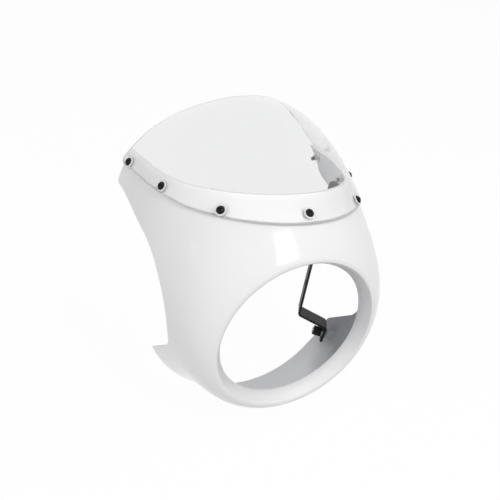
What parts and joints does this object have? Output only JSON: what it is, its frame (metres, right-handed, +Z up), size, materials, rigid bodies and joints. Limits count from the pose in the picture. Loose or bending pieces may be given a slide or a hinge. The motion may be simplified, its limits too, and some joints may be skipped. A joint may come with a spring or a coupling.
{
  "type": "motorcycle windscreen fairing",
  "caption": "Motorcycle headlight fairing: white moulded cowl with a round light opening, clear bubble screen screwed round its top band and black strap brackets inside.",
  "frame": {"origin": "on the axis of the round light opening, half way along its straight land", "axes": "+X across the bike, to the right as seen from the front; +Y to the rear, towards the rider; +Z up"},
  "size_m": [0.2888, 0.2357, 0.3588],
  "materials": {
    "cowl_white": "gloss white, unpainted grey inside",
    "screen_clear": "clear acrylic, polished",
    "screw_black": "black coated, semi-gloss",
    "washer_nylon": "translucent pale nylon",
    "plated_steel": "bright plated",
    "strap_black": "satin black coating",
    "knob_black": "moulded black, ridged"
  },
  "bodies": {
    "root": {"fairing_shell": "cowl_white", "windscreen": "screen_clear", "screen_screws": "screw_black", "screen_washers": "washer_nylon", "backing_washers": "plated_steel", "screen_nuts": "plated_steel", "bracket_left": "strap_black", "bracket_right": "strap_black", "bracket_studs": "plated_steel", "bracket_washers": "plated_steel", "bracket_nuts": "plated_steel", "thumb_nuts": "knob_black"}
  },
  "joints": []
}
